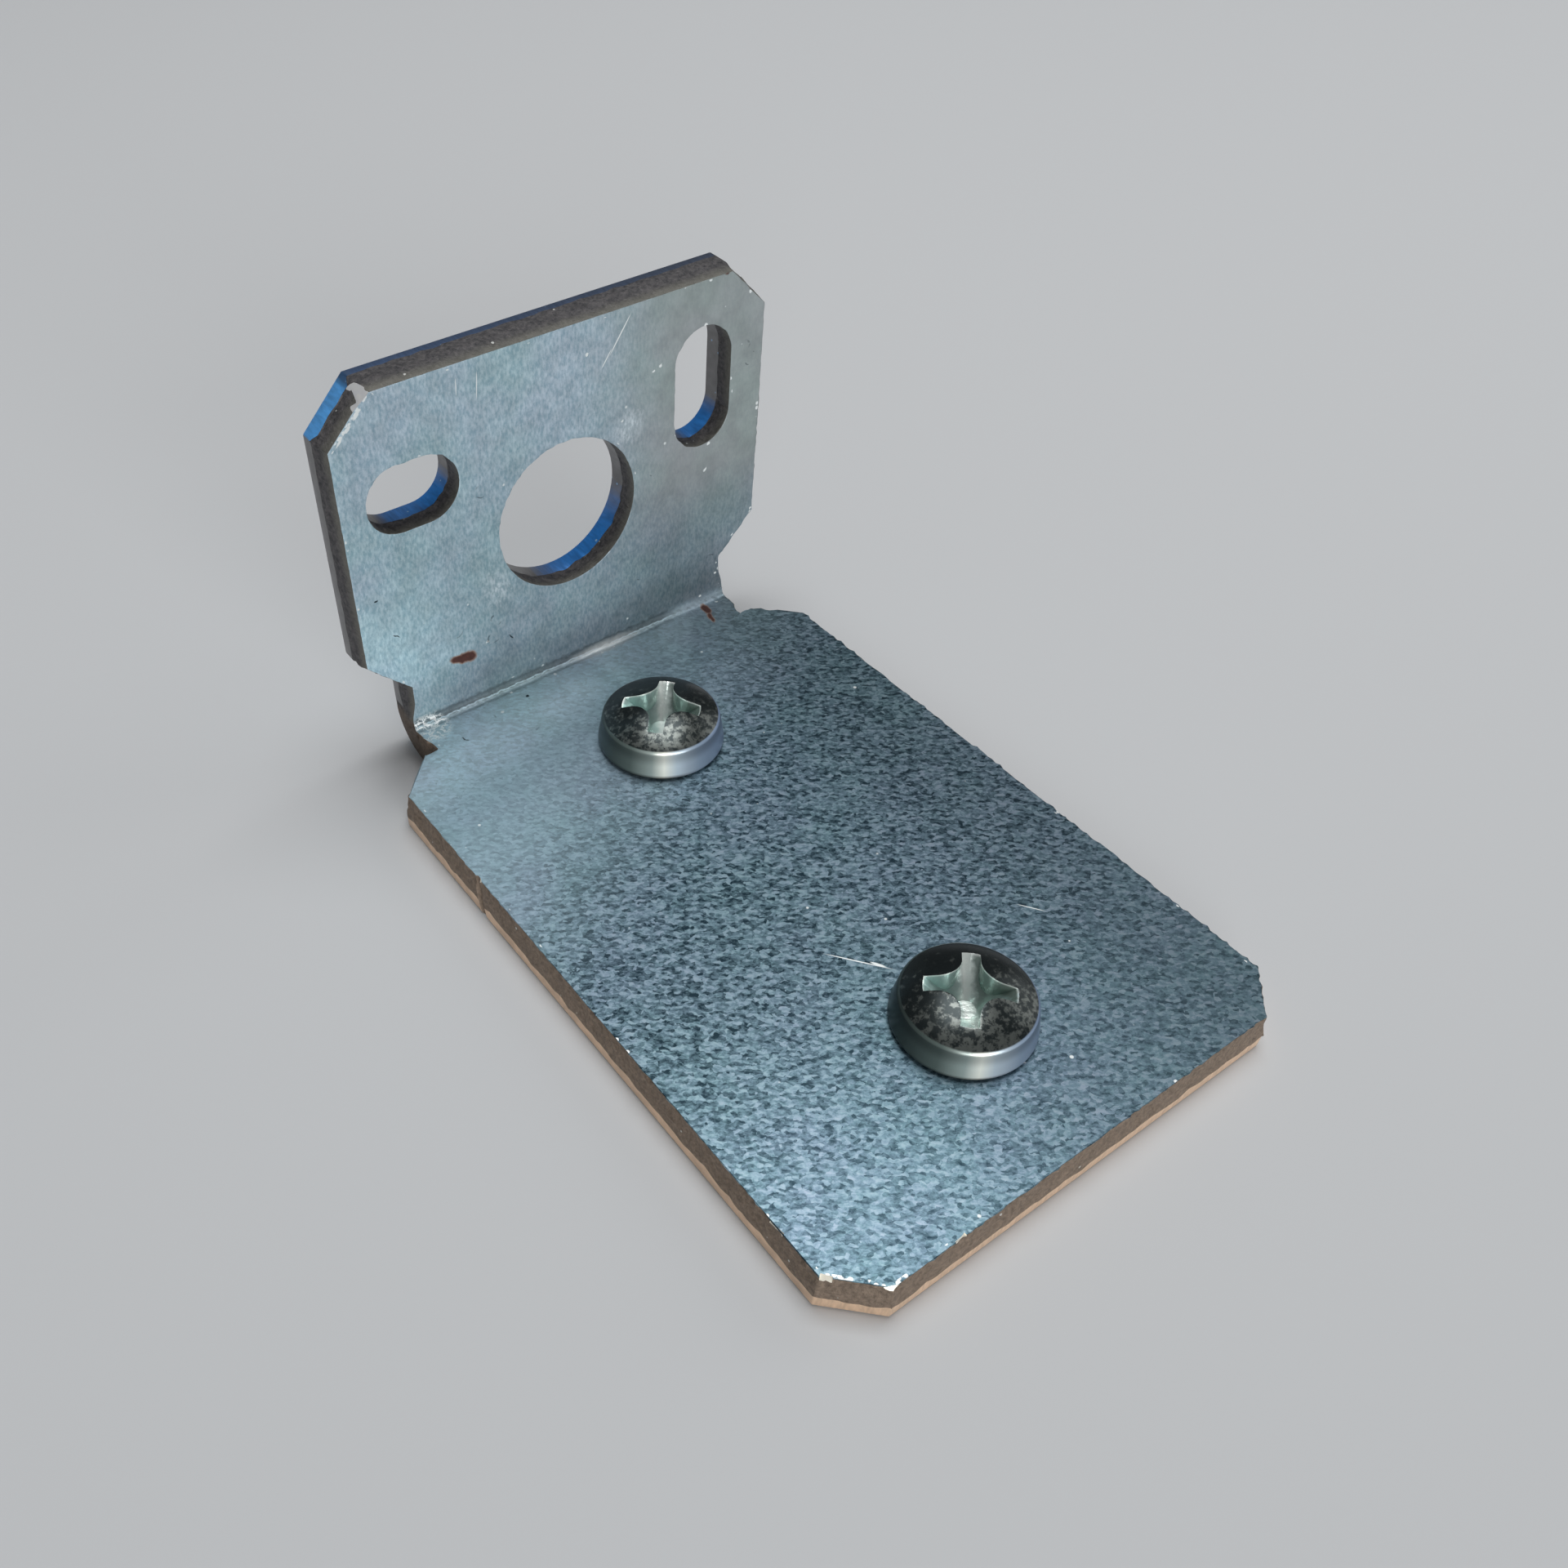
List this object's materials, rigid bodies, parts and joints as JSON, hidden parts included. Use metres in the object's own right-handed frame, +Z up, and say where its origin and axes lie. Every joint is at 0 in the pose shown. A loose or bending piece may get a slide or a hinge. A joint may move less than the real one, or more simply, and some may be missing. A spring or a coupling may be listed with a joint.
{
  "type": "angle bracket",
  "caption": "Small angle bracket folded from punched galvanised sheet: an upright leg with a round hole and slots, and a longer base leg fixed with cross-recess pan head screws.",
  "frame": {"origin": "underside of the base leg, midway between the axes of the two screws", "axes": "+Z up along the upright leg, +Y along the base leg towards the upright leg, +X across to the right, on the side of the upright slot"},
  "size_m": [0.0322, 0.0497, 0.0317],
  "materials": {
    "galvanised_sheet": "hot-dip galvanised, fine mottled",
    "zinc_plated_screw": "bright zinc plated"
  },
  "bodies": {
    "root": {"bracket": "galvanised_sheet", "screws": "zinc_plated_screw"}
  },
  "joints": []
}
